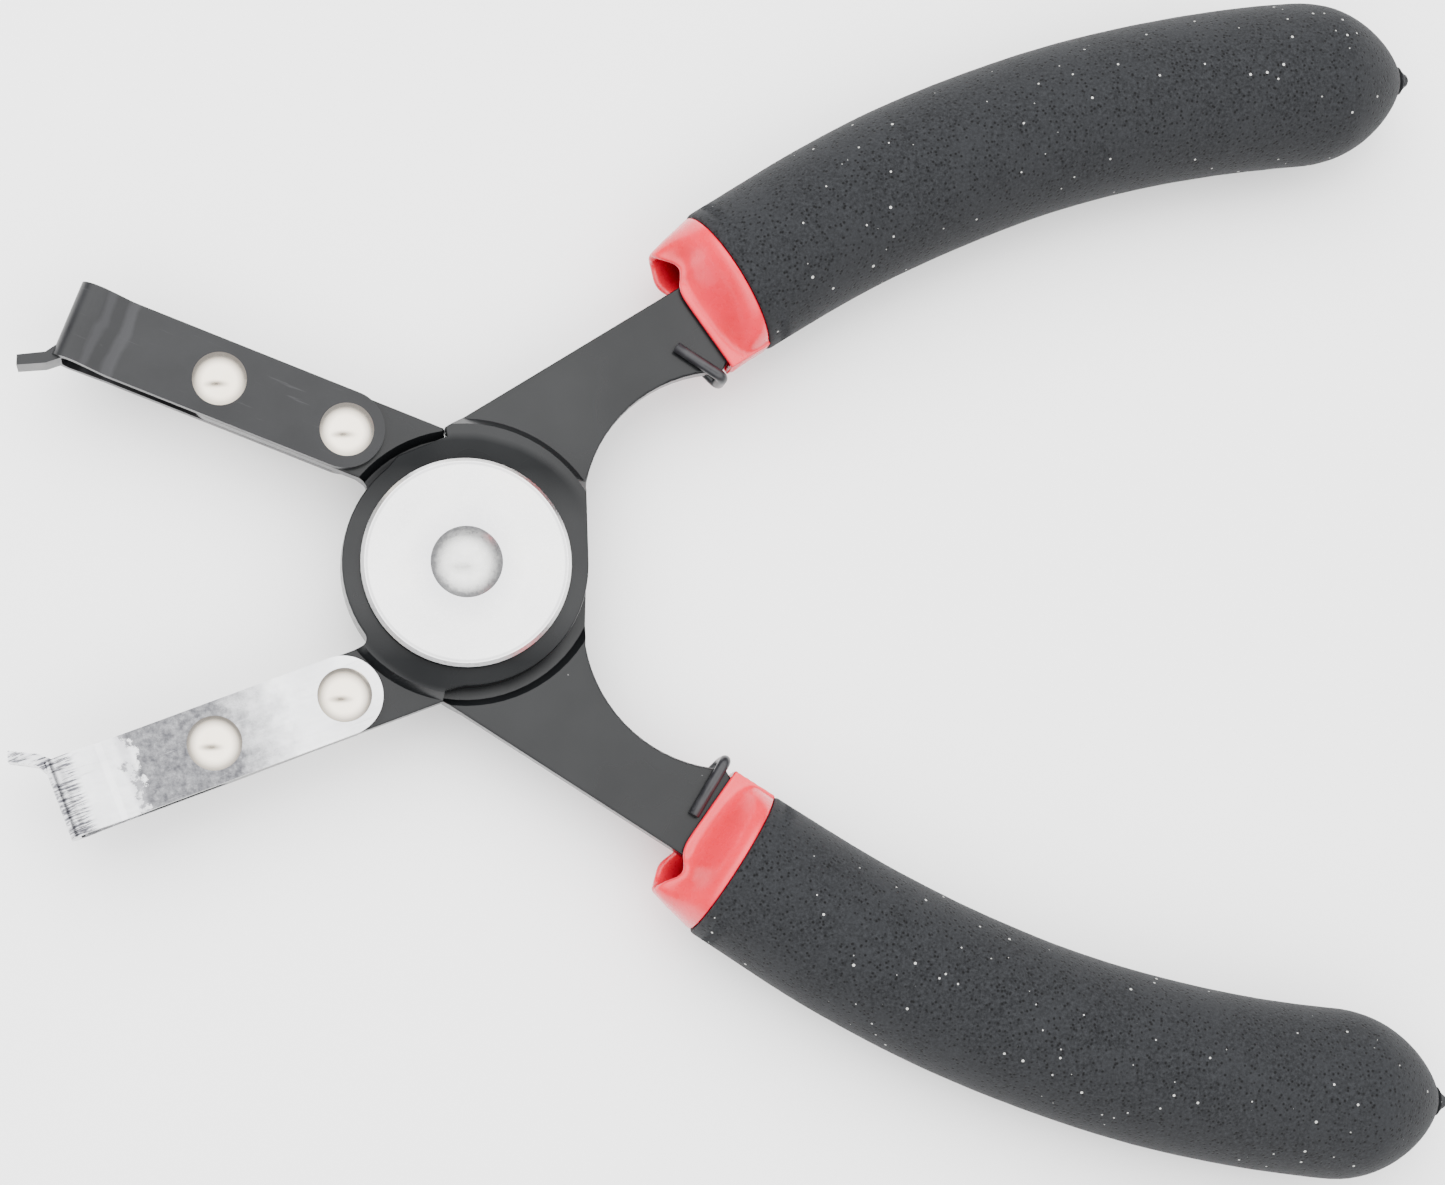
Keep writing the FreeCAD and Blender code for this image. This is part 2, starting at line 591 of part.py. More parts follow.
def ring(name, hole, rim, bottom, top, bevel="0.3"):
    """A turned ring with bevelled outer corners."""
    body = new_body(name)
    section = sketch_on(body, f"{name}_section", "XZ_Plane")
    outline(section, [
        (hole, bottom),
        (f"{rim} - {bevel}", bottom),
        (rim, f"{bottom} + {bevel}"),
        (rim, f"{top} - {bevel}"),
        (f"{rim} - {bevel}", top),
        (hole, top),
    ])
    revolve(body, section)
    body.Placement = AS_MADE


# ---------------------------------------------------------------------------------------------------
# Torsion spring
# ---------------------------------------------------------------------------------------------------
def rounded_run(points, radii):
    """Edges of a path of straight runs with an arc of the given radius at each inner corner."""
    edges = []
    start = points[0]
    for index in range(1, len(points) - 1):
        corner = points[index]
        back = (points[index - 1] - corner).normalize()
        ahead = (points[index + 1] - corner).normalize()
        half_turn = (math.pi - back.getAngle(ahead)) / 2
        reach = radii[index - 1] * math.tan(half_turn)
        into = corner + back * reach
        out = corner + ahead * reach
        middle_direction = (back + ahead).normalize()
        centre = corner + middle_direction * (radii[index - 1] / math.cos(half_turn))
        middle = centre - middle_direction * radii[index - 1]
        edges.append(Part.LineSegment(start, into).toShape())
        edges.append(Part.Arc(into, middle, out).toShape())
        start = out
    edges.append(Part.LineSegment(start, points[-1]).toShape())
    return edges


def spring_leg(side, coil_z, hook_return, hook_slant):
    """Points of one leg, from the coil to the end of its hook, with the radii of its bends."""
    handle = math.radians(value("HandleAngle"))
    splay = math.radians(value("LegSplay"))
    radius = value(COIL_RADIUS)

    def place(along, across, height):
        x = along * math.cos(handle) - across * math.sin(handle)
        y = along * math.sin(handle) + across * math.cos(handle)
        return Vector(x, y * side, height)

    def leg_line(along):
        return radius / math.cos(splay) + along * math.tan(splay)

    behind = value(f"{ARM_BACK} - WireRadius - HookClearance")
    rise = value("LegRise")
    turn = value(LEG_TURN)
    hook = value(HOOK_PLACE)
    edge = value("NeckEndEdge - WireRadius - HookClearance")
    points = [
        place(-radius * math.sin(splay), radius * math.cos(splay), coil_z),
        place(rise, leg_line(rise), coil_z),
        place(turn, leg_line(turn), behind),
        place(hook, edge, behind),
        place(hook, edge, -behind),
        place(hook - value(hook_slant), edge + value(hook_return), -behind),
    ]
    radii = [value(name) for name in ("LegBend", "HookTurn", "HookBend", "HookBend")]
    return points, radii


def torsion_spring(name):
    """Coil and both legs as one bent wire."""
    radius = value(COIL_RADIUS)
    front = value(COIL_FRONT)
    back = value(COIL_BACK)
    coil = Part.makeHelix(value("CoilPitch"), front - back, radius, 0, True)
    coil.rotate(Vector(0, 0, 0), Vector(0, 0, 1), 270 - value(LEG_ANGLE))
    coil.translate(Vector(0, 0, back))
    front_leg = rounded_run(*spring_leg(1, front, "FrontHookReturn", "FrontHookSlant"))
    rear_leg = rounded_run(*spring_leg(-1, back, "RearHookReturn", "RearHookSlant"))

    path = Part.Wire(Part.__sortEdges__(front_leg[::-1] + coil.Edges + rear_leg))
    tip = front_leg[-1]
    direction = tip.tangentAt(tip.LastParameter)
    section = Part.Wire(Part.makeCircle(value("WireRadius"), tip.valueAt(tip.LastParameter), direction))
    wire = doc.addObject("Part::Feature", name)
    wire.Label = name
    wire.Shape = path.makePipeShell([section], True, False)
    wire.Placement = AS_MADE
    true_volume = path.Length * math.pi * value("WireRadius") ** 2
    if abs(wire.Shape.Volume / true_volume - 1) > 0.02:
        raise RuntimeError(f"{name}: the wire's volume {wire.Shape.Volume:.0f} isn't {true_volume:.0f}")


# ---------------------------------------------------------------------------------------------------
# Sleeves and grips, along the handle's own direction
# ---------------------------------------------------------------------------------------------------
def grip_path(body, name, start, beyond):
    """The grip's axis: straight, then the bend, then straight on past it."""
    path = sketch_on(body, name, "XY_Plane", turn="HandleAngle")
    bend_x = "BendStart + BendRadius * sin ( BendAngle )"
    bend_y = "GripAxis - BendRadius + BendRadius * cos ( BendAngle )"
    outline(path, [
        (start, "GripAxis"),
        ("BendStart", "GripAxis"),
        (bend_x, bend_y),
        (f"{bend_x} + ( {beyond} ) * cos ( BendAngle )", f"{bend_y} - ( {beyond} ) * sin ( BendAngle )"),
    ], arcs={1: ("BendRadius", 1)}, closed=False)
    path.Visibility = False
    return path


def section_at(body, name, along):
    """A sketch square to the handle, whose X runs across the handle and whose Y runs up."""
    x, y = turned("GripAxis", along, "HandleAngle")
    return sketch_on(body, name, "YZ_Plane", origin=(y, "0", x), turn_axis=Vector(0, 1, 0),
                     turn="HandleAngle")


def oval(sketch, half_width, half_height, middle="0"):
    """Straight top and bottom with full round ends."""
    straight = f"( ( {half_width} ) - ( {half_height} ) )"
    outline(sketch, [
        (f"{middle} - {straight}", f"0 - ( {half_height} )"),
        (f"{middle} + {straight}", f"0 - ( {half_height} )"),
        (f"{middle} + {straight}", half_height),
        (f"{middle} - {straight}", half_height),
    ], arcs={1: (f"( {half_height} ) * 1.001", -1), 3: (f"( {half_height} ) * 1.001", -1)})


def pipe(body, kind, section, path):
    feature = body.newObject(f"PartDesign::{kind}Pipe", f"{section.Name}_{kind.lower()}")
    feature.Profile = section
    feature.Spine = path
    feature.Mode = "Standard"
    section.Visibility = False
    if kind == "Subtractive":
        return cut(body, feature, section.Name)
    doc.recompute()
    return feature


def sleeve(name, placement):
    body = new_body(name)
    tube_width = "BladeWidth / 2 + SleeveWall"
    tube_height = "LeverThickness / 2 + SleeveWall"
    tube = section_at(body, f"{name}_tube", f"{FOAM_START} - SleeveLap")
    oval(tube, tube_width, tube_height)
    pipe(body, "Additive", tube, grip_path(body, f"{name}_path", f"{FOAM_START} - SleeveLap", "SleeveEnd"))

    mouth = section_at(body, f"{name}_mouth", "SleeveMouth")
    oval(mouth, "SleeveMouthWidth / 2", "SleeveMouthHeight / 2", "SleeveMouthAxis - GripAxis")
    brim = section_at(body, f"{name}_brim", f"{FOAM_START} - FoamFit")
    oval(brim, "CollarWidth / 2", "CollarHeight / 2")
    collar = body.newObject("PartDesign::AdditiveLoft", f"{name}_collar")
    collar.Profile = mouth
    collar.Sections = [brim]
    collar.Ruled = True
    doc.recompute()

    blade = section_at(body, f"{name}_blade", f"{FOAM_START} - SleeveLap")
    half_width = "( BladeWidth / 2 + SleeveFit )"
    half_height = "( LeverThickness / 2 + SleeveFit )"
    outline(blade, [
        (f"0 - {half_width}", f"0 - {half_height}"),
        (half_width, f"0 - {half_height}"),
        (half_width, half_height),
        (f"0 - {half_width}", half_height),
    ])
    blade_path = grip_path(body, f"{name}_blade_path", f"{FOAM_START} - SleeveLap",
                           "BladeWidth / 2 + SleeveFit")
    pipe(body, "Subtractive", blade, blade_path)

    slot = sketch_on(body, f"{name}_slot", "XY_Plane", turn="HandleAngle")
    outline(slot, [
        (f"SleeveMouth - {SLACK}", "NeckEndEdge - SleeveFit"),
        (FOAM_START, "NeckEndEdge - SleeveFit"),
        (FOAM_START, "GripAxis + BladeWidth / 2 + SleeveFit"),
        (f"SleeveMouth - {SLACK}", "GripAxis + BladeWidth / 2 + SleeveFit"),
    ])
    opening = body.newObject("PartDesign::Pocket", f"{name}_opening")
    opening.Profile = slot
    opening.Midplane = True
    opening.setExpression("Length", cells("LeverThickness + 2 * SleeveFit"))
    cut(body, opening, slot.Name)
    body.Placement = placement


def foam_grip(name, placement):
    body = new_body(name)
    skin = section_at(body, f"{name}_skin", FOAM_START)
    circle(skin, "0", "0", "FoamRadius")
    pipe(body, "Additive", skin, grip_path(body, f"{name}_path", FOAM_START, "FoamEnd"))

    def round_edges(edge):
        return abs(edge.Length - 2 * math.pi * value("FoamRadius")) < 0.1

    def far_end(edge):
        return round_edges(edge) and edge.CenterOfMass.x > value("BendStart") * 1.5

    def mouth_end(edge):
        return round_edges(edge) and edge.CenterOfMass.x < value("BendStart")

    fillet(body, f"{name}_end", "FoamRounding", far_end)
    fillet(body, f"{name}_lip", "FoamLip", mouth_end)

    bore = section_at(body, f"{name}_bore", FOAM_START)
    oval(bore, "BladeWidth / 2 + SleeveWall + FoamFit", "LeverThickness / 2 + SleeveWall + FoamFit")
    bore_path = grip_path(body, f"{name}_bore_path", FOAM_START, "SleeveEnd + FoamFit")
    pipe(body, "Subtractive", bore, bore_path)
    body.Placement = placement


# ---------------------------------------------------------------------------------------------------
# Assembly
# ---------------------------------------------------------------------------------------------------
for which, side_up in (("front", AS_MADE), ("rear", TURNED_OVER)):
    lever(f"{which}_lever", side_up)
    sleeve(f"{which}_sleeve", side_up)
    foam_grip(f"{which}_foam_grip", side_up)

for jaw_name, jaw_side in (("plated_jaw", -1), ("black_jaw", 1)):
    jaw(jaw_name, jaw_side)
    for place, along in (("inner", JAW_RIVET_START), ("outer", JAW_RIVET_END)):
        rivet(f"{jaw_name}_rivet_{place}", "JawShankRadius", f"{ARM_BACK} - SheetThickness",
              f"{ARM_FRONT} + SheetThickness", "JawHeadRadius", "JawHeadHeight", "JawHeadRadius",
              "JawTailHeight", along, jaw_side)

rivet("pivot_rivet", "PivotRadius", BACK_DISC_BACK, DISC_FRONT, "PivotHeadRadius", "PivotHeadHeight",
      "PivotTailRadius", "PivotTailHeight")
ring("front_cover_disc", "PivotRadius", "DiscRadius", DISC_BACK, DISC_FRONT, "DiscBevel")
ring("rear_cover_disc", "PivotRadius", "BackDiscRadius", BACK_DISC_BACK, BUSH_BACK, "DiscBevel")
ring("spring_bush", "PivotRadius", "PivotRadius + BushWall", BUSH_BACK, BUSH_FRONT)
torsion_spring("torsion_spring")

doc.recompute()
failed = [item.Name for item in doc.Objects if {"Invalid", "Error"} & set(item.State)]
if failed:
    raise RuntimeError(f"failed objects: {failed}")

pieces = [item for item in doc.Objects if item.TypeId in ("PartDesign::Body", "Part::Feature")]
os.makedirs("parts", exist_ok=True)
for piece in pieces:
    if piece.Shape.isNull() or not piece.Shape.isValid():
        raise RuntimeError(f"{piece.Label} has no valid shape")
    piece.Shape.exportStep(f"parts/{piece.Label}.step")
    print(f"{piece.Label}: {len(piece.Shape.Solids)} solid, {piece.Shape.Volume:.0f} mm3")
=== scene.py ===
import math

import bpy
from mathutils import Matrix, Vector, noise

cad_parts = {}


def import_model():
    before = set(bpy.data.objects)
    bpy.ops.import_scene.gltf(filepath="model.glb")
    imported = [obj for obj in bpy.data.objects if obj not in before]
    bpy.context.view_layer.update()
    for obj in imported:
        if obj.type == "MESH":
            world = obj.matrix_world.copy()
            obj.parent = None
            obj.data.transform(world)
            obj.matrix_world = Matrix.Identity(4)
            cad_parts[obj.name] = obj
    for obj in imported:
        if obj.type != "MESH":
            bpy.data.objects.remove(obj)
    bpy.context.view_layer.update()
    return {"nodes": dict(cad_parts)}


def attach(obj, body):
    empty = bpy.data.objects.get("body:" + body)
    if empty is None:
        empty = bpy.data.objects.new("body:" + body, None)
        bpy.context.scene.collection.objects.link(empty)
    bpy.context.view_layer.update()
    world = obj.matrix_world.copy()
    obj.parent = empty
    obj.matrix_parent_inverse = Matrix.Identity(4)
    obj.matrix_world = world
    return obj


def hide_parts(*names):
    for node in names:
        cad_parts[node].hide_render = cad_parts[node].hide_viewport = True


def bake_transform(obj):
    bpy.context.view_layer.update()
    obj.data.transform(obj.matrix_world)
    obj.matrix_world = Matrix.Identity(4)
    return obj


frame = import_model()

MM = 0.001

# The handle's own frame and the plane midway between the levers, as the part is drawn (mm, degrees).
REST = 11.699
HANDLE = math.radians(32.5)
GRIP_AXIS = 15.2
BEND_START = 66.9
BEND_RADIUS = 180.0
BEND_ANGLE = math.radians(27.9)
ARM_HALF = 1.5
MOUTH = 47.9
FOAM_START = 55.4
WORLD_STRENGTH = 4.6


# ---------------------------------------------------------------------------------------------------
# Mesh helpers
# ---------------------------------------------------------------------------------------------------
def mesh_object(name, vertices, faces):
    mesh = bpy.data.meshes.new(name)
    mesh.from_pydata([Vector(v) * MM for v in vertices], [], faces)
    mesh.validate()
    mesh.polygons.foreach_set("use_smooth", [True] * len(mesh.polygons))
    obj = bpy.data.objects.new(name, mesh)
    bpy.context.scene.collection.objects.link(obj)
    return obj


def rings_object(name, rings, loop=False):
    """A surface through closed rings of equal size, with a fan over each end or joined end to start."""
    count = len(rings[0])
    vertices = [point for ring in rings for point in ring]
    faces = []
    spans = len(rings) if loop else len(rings) - 1
    for i in range(spans):
        a, b = i * count, ((i + 1) % len(rings)) * count
        for j in range(count):
            k = (j + 1) % count
            faces.append((a + j, a + k, b + k, b + j))
    for ring_index in () if loop else (0, len(rings) - 1):
        centre = sum((Vector(p) for p in rings[ring_index]), Vector()) / count
        vertices.append(tuple(centre))
        hub = len(vertices) - 1
        base = ring_index * count
        for j in range(count):
            k = (j + 1) % count
            order = (base + k, base + j, hub) if ring_index == 0 else (base + j, base + k, hub)
            faces.append(order)
    return mesh_object(name, vertices, faces)


def smooth_step(t):
    t = max(0.0, min(1.0, t))
    return t * t * (3 - 2 * t)


def in_handle(along, across, up):
    """A point of the front handle, in the row frame, millimetres."""
    c, s = math.cos(HANDLE), math.sin(HANDLE)
    return Vector((along * c - across * s, along * s + across * c, up + REST))


def turned_over(point):
    """The same point on the rear handle, which is the front one turned over about X."""
    return Vector((point.x, -point.y, 2 * REST - point.z))


# ---------------------------------------------------------------------------------------------------
# Foam grips
# ---------------------------------------------------------------------------------------------------
STRAIGHT = BEND_START - FOAM_START
CURVED = BEND_RADIUS * BEND_ANGLE
TAIL = 12.9  # straight run after the bend, to the far end
MOUTH_HALF_WIDTH = 11.45
MOUTH_HALF_HEIGHT = 10.8
SWELL = 0.16  # slow unevenness of the moulded foam
LUMPS = 0.035
GRIP_LENGTH = STRAIGHT + CURVED + TAIL
CAP = 17.0


def grip_axis(s):
    """Centre and the direction across the grip, at a length from the foam's mouth."""
    if s <= STRAIGHT:
        along, across, turn = FOAM_START + s, GRIP_AXIS, 0.0
    else:
        turn = min((s - STRAIGHT) / BEND_RADIUS, BEND_ANGLE)
        along = BEND_START + BEND_RADIUS * math.sin(turn)
        across = GRIP_AXIS - BEND_RADIUS + BEND_RADIUS * math.cos(turn)
        past = s - STRAIGHT - CURVED
        if past > 0:
            along += past * math.cos(turn)
            across -= past * math.sin(turn)
    return along, across, turn


def grip_half_width(s):
    """Half the width of the grip: a slight swelling to the far end, then the pointed round end."""
    t = s / GRIP_LENGTH
    width = MOUTH_HALF_WIDTH + 0.50 * smooth_step(t / 0.35) + 0.50 * smooth_step((t - 0.4) / 0.45)
    into_cap = (s - (GRIP_LENGTH - CAP)) / CAP
    if into_cap > 0:
        width *= (1 - into_cap ** 2.1) ** 0.70
    return width


def foam_grip(name, body, node, place, seed):
    around = 96
    rings = []
    stations = [0.35 * i * i * 0.18 for i in range(1, 7)]
    s = stations[-1]
    while s < GRIP_LENGTH - CAP:
        stations.append(s)
        s += 1.6
    stations += [GRIP_LENGTH - CAP + CAP * math.sin(math.pi / 2 * i / 22) for i in range(22)]

    def ring(s, width, height):
        along, across, turn = grip_axis(s)
        middle = in_handle(along, across, 0)
        points = []
        for j in range(around):
            a = 2 * math.pi * j / around
            w, h = width * math.cos(a), height * math.sin(a)
            point = in_handle(along + w * math.sin(turn), across + w * math.cos(turn), h)
            out = point - middle
            if out.length > 0.5:
                swell = noise.noise(point * 0.045 + Vector((seed, 0, 0)))
                lumps = noise.noise(point * 0.30 + Vector((0, seed, 0)))
                point = point + out.normalized() * (SWELL * swell + LUMPS * lumps)
            points.append(place(point))
        return points

    # The pocket that the sleeve goes into, then the rolled lip, then the outside.
    lip = ((3.4, 2.2), (2.8, 1.2), (0.6, 1.0), (0.12, 0.85), (0.0, 0.55), (0.08, 0.25), (0.3, 0.06))
    for s, shrink in lip:
        rings.append(ring(s, grip_half_width(0) - shrink, MOUTH_HALF_HEIGHT - shrink))
    for s in stations[2:]:
        width = grip_half_width(s)
        height = min(width, MOUTH_HALF_HEIGHT + 0.8 * smooth_step(s / 14))
        rings.append(ring(s, width, height))
    # A small moulded nub at the middle of the end.
    along, across, turn = grip_axis(GRIP_LENGTH)
    for reach, radius in ((-0.25, 2.1), (0.15, 1.55), (0.55, 1.15), (1.0, 0.85), (1.25, 0.45)):
        nub = []
        for j in range(around):
            a = 2 * math.pi * j / around
            w, h = radius * math.cos(a), radius * math.sin(a)
            nub.append(place(in_handle(along + reach * math.cos(turn) + w * math.sin(turn),
                                       across - reach * math.sin(turn) + w * math.cos(turn), h)))
        rings.append(nub)
    obj = rings_object(name, rings)
    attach(obj, body)
    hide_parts(node)
    return obj


# ---------------------------------------------------------------------------------------------------
# Vinyl sleeves
# ---------------------------------------------------------------------------------------------------
WALL = 1.25
SLEEVE_MOUTH_AXIS = 14.05
SLEEVE_MOUTH_HALF = (10.45, 3.9)  # half width and half height
SLEEVE_FOAM_HALF = (11.20, 10.5)


def sleeve(name, body, node, place, open_side):
    """A dipped sleeve: flattened on the arm at its mouth, with an open fold past the arm's outer edge,
    and round where it meets the foam, with a narrower tail inside the foam."""
    around = 144
    length = FOAM_START - MOUTH

    def section(v, inward):
        """Places across and up round the sleeve at v, 0 at the mouth and 1 at the foam."""
        grow = smooth_step(v * 0.94)
        slope = min(v, 1.0) ** 0.8
        half_width = SLEEVE_MOUTH_HALF[0] + (SLEEVE_FOAM_HALF[0] - SLEEVE_MOUTH_HALF[0]) * slope - inward
        middle = SLEEVE_MOUTH_AXIS + (GRIP_AXIS - SLEEVE_MOUTH_AXIS) * slope
        half_height = SLEEVE_MOUTH_HALF[1] + (SLEEVE_FOAM_HALF[1] - SLEEVE_MOUTH_HALF[1]) * grow - inward
        power = 2.8 - 0.8 * grow
        points = []
        for j in range(around):
            a = 2 * math.pi * j / around
            c, s = math.cos(a), math.sin(a)
            across = middle + half_width * math.copysign(abs(c) ** (2 / power), c)
            up = half_height * math.copysign(abs(s) ** (2 / power), s)
            on_arm = 1 - smooth_step((across - 16.6) / 2.8)
            squeeze = 0.36 * on_arm * (1 - smooth_step(v * 1.25))
            fold = math.exp(-((across - 18.2) / 1.2) ** 2)
            side = 1.0 if s * open_side > 0 else 0.4
            squeeze += 0.20 * fold * side * (1 - smooth_step(v * 1.7))
            up *= 1 - squeeze
            least = ARM_HALF + 0.07 + (WALL - inward)
            if 4.0 < across < 18.6:
                up = math.copysign(max(abs(up), least), s)
            points.append((across, up))
        return points

    def mouth_shift(across, up):
        """The mouth is cut back over the open fold on one face and reaches further on the other."""
        fold = math.exp(-((across - 20.6) / 2.3) ** 2)
        if up * open_side > 0:
            return 1.9 * fold
        return -0.9 * fold

    profile = [(1.30, 2.6), (1.20, 1.75), (1.035, 1.6), (1.0, 1.1), (0.995, 0.45), (0.975, 0.12), (0.94, 0.0)]
    profile += [(v, 0.0) for v in (0.86, 0.76, 0.66, 0.56, 0.46, 0.37, 0.29, 0.22, 0.16, 0.12)]
    for i in range(1, 10):  # the rolled lip, a little thicker than the wall
        turn = math.pi * i / 10
        profile.append((0.12 - 0.105 * math.sin(turn) ** 0.8,
                        WALL * (1 - math.cos(turn)) / 2 - 0.16 * math.sin(turn)))
    profile += [(v, WALL) for v in (0.12, 0.2, 0.32, 0.5, 0.7, 0.9)]
    profile += [(1.1, WALL + 1.2), (1.2, 2.9), (1.30, 3.6)]
    rings = []
    for v, inward in profile:
        fade = (1 - smooth_step(v * 1.15)) if v < 0.87 else 0.0
        ring = []
        for across, up in section(v, inward):
            along = MOUTH + length * v + fade * (mouth_shift(across, up) - 0.05 * (across - 13.6))
            ring.append(place(in_handle(along, across, up)))
        rings.append(ring)
    obj = rings_object(name, rings, loop=True)
    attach(obj, body)
    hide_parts(node)
    return obj


# ---------------------------------------------------------------------------------------------------
# Torsion spring: one bent wire
# ---------------------------------------------------------------------------------------------------
WIRE = 0.85
COIL_RADIUS = 7.3
COIL_PITCH = 1.78
COIL_FRONT = -3.95
LEG_SPLAY = math.radians(3.0)
COIL_TURN = 2 * 2 * math.pi + math.pi - 2 * (HANDLE + LEG_SPLAY)
COIL_BACK = COIL_FRONT - COIL_PITCH * COIL_TURN / (2 * math.pi)


LEG_DROP = 23.0  # where each leg leaves the coil's level, along the handle
LEG_TURN = 45.1
HOOK_PLACE = 46.5
BLADE_EDGE = 4.4  # the arm's inner edge, across the handle
WIRE_CLEARANCE = 0.06


def rounded(points, radii, step=0.25):
    """Points along straight runs with an arc of the given radius at each inner corner."""
    path = [points[0]]
    for i in range(1, len(points) - 1):
        corner = points[i]
        back = (points[i - 1] - corner).normalized()
        ahead = (points[i + 1] - corner).normalized()
        half_turn = (math.pi - back.angle(ahead)) / 2
        reach = radii[i - 1] * math.tan(half_turn)
        bisector = (back + ahead).normalized()
        centre = corner + bisector * (radii[i - 1] / math.cos(half_turn))
        start = (corner + back * reach) - centre
        axis = start.cross((corner + ahead * reach) - centre).normalized()
        steps = max(4, int(radii[i - 1] * 2 * half_turn / step))
        for k in range(steps + 1):
            path.append(centre + Matrix.Rotation(2 * half_turn * k / steps, 3, axis) @ start)
    path.append(points[-1])
    return path


def leg(side, level, hook_return, hook_slant):
    def at(along, across, up):
        point = in_handle(along, across, up)
        return Vector((point.x, point.y * side, point.z))

    def line(along):
        return COIL_RADIUS / math.cos(LEG_SPLAY) + along * math.tan(LEG_SPLAY)

    behind = -ARM_HALF - WIRE - WIRE_CLEARANCE
    edge = BLADE_EDGE - WIRE - WIRE_CLEARANCE
    points = [
        at(-COIL_RADIUS * math.sin(LEG_SPLAY), COIL_RADIUS * math.cos(LEG_SPLAY), level),
        at(LEG_DROP, line(LEG_DROP), level),
        at(LEG_TURN, line(LEG_TURN), behind),
        at(HOOK_PLACE, edge, behind),
        at(HOOK_PLACE, edge, -behind),
        at(HOOK_PLACE - hook_slant, edge + hook_return, -behind),
    ]
    return rounded(points, (12.0, 2.5, 1.0, 1.0))


def torsion_spring(name):
    front = leg(1, COIL_FRONT, 7.4, 3.4)
    rear = leg(-1, COIL_BACK, 9.2, -0.3)
    first = math.pi / 2 + HANDLE + LEG_SPLAY
    steps = 150
    coil = []
    for k in range(1, steps):
        t = k / steps
        a = first + COIL_TURN * t
        coil.append(Vector((COIL_RADIUS * math.cos(a), COIL_RADIUS * math.sin(a),
                            REST + COIL_FRONT + (COIL_BACK - COIL_FRONT) * t)))
    path = front[::-1] + coil + rear
    around = 20
    rings = []
    normal = None
    for i, point in enumerate(path):
        tangent = (path[min(i + 1, len(path) - 1)] - path[max(i - 1, 0)]).normalized()
        if normal is None:
            normal = tangent.orthogonal().normalized()
        normal = (normal - tangent * normal.dot(tangent)).normalized()
        other = tangent.cross(normal)
        ends = []
        if i == 0:
            ends = [(0.0, 0.72), (0.10, 0.93)]
        elif i == len(path) - 1:
            ends = [(-0.10, 0.93), (0.0, 0.72)]
        for shift, share in ends or [(0.0, 1.0)]:
            ring = []
            for j in range(around):
                a = 2 * math.pi * j / around
                ring.append(point + tangent * shift
                            + (normal * math.cos(a) + other * math.sin(a)) * WIRE * share)
            rings.append(ring)
    obj = rings_object(name, rings)
    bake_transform(obj)
    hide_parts("torsion_spring")
    return obj


# ---------------------------------------------------------------------------------------------------
# Materials
# ---------------------------------------------------------------------------------------------------
class Look:
    """A node material built up by small calls."""

    def __init__(self, name, **constants):
        self.material = bpy.data.materials.new(name)
        self.material.use_nodes = True
        self.tree = self.material.node_tree
        self.shader = self.tree.nodes["Principled BSDF"]
        for socket, value in constants.items():
            self.shader.inputs[socket.replace("_", " ")].default_value = value
        self.place = self.node("ShaderNodeTexCoord").outputs["Object"]
        self.bumps = None

    def node(self, kind, **settings):
        made = self.tree.nodes.new(kind)
        for key, value in settings.items():
            setattr(made, key, value)
        return made

    def link(self, source, target):
        self.tree.links.new(source, target)

    def scaled(self, scale, turn=0.0):
        """Object coordinates stretched and turned about Z, for grain along a direction."""
        mapping = self.node("ShaderNodeMapping")
        mapping.inputs["Scale"].default_value = scale
        turned = self.node("ShaderNodeMapping")
        turned.inputs["Rotation"].default_value = (0, 0, turn)
        self.link(self.place, turned.inputs["Vector"])
        self.link(turned.outputs["Vector"], mapping.inputs["Vector"])
        return mapping.outputs["Vector"]

    def noise(self, scale, detail=3.0, rough=0.5, vector=None):
        made = self.node("ShaderNodeTexNoise")
        made.inputs["Scale"].default_value = scale
        made.inputs["Detail"].default_value = detail
        made.inputs["Roughness"].default_value = rough
        self.link(vector or self.place, made.inputs["Vector"])
        return made.outputs["Fac"]

    def cells(self, scale):
        made = self.node("ShaderNodeTexVoronoi")
        made.inputs["Scale"].default_value = scale
        self.link(self.place, made.inputs["Vector"])
        return made.outputs["Distance"]

    def ranged(self, value, low, high, to_low=0.0, to_high=1.0):
        made = self.node("ShaderNodeMapRange")
        spans = (("From Min", low), ("From Max", high), ("To Min", to_low), ("To Max", to_high))
        for socket, number in spans:
            made.inputs[socket].default_value = number
        self.link(value, made.inputs["Value"])
        return made.outputs["Result"]

    def mixed(self, factor, first, second):
        made = self.node("ShaderNodeMix", data_type="RGBA")
        self.link(factor, made.inputs["Factor"])
        for socket, colour in ((made.inputs["A"], first), (made.inputs["B"], second)):
            if isinstance(colour, tuple):
                socket.default_value = (*colour, 1.0)
            else:
                self.link(colour, socket)
        return made.outputs["Result"]

    def maths(self, operation, first, second):
        made = self.node("ShaderNodeMath", operation=operation)
        for socket, item in ((made.inputs[0], first), (made.inputs[1], second)):
            if isinstance(item, (int, float)):
                socket.default_value = item
            else:
                self.link(item, socket)
        return made.outputs[0]

    def bump(self, height, strength, distance_mm):
        made = self.node("ShaderNodeBump")
        made.inputs["Strength"].default_value = strength
        made.inputs["Distance"].default_value = distance_mm * MM
        self.link(height, made.inputs["Height"])
        if self.bumps is not None:
            self.link(self.bumps, made.inputs["Normal"])
        self.bumps = made.outputs["Normal"]

    def finish(self, colour=None, roughness=None):
        if colour is not None:
            self.link(colour, self.shader.inputs["Base Color"])
        if roughness is not None:
            self.link(roughness, self.shader.inputs["Roughness"])
        if self.bumps is not None:
            self.link(self.bumps, self.shader.inputs["Normal"])
        return self.material


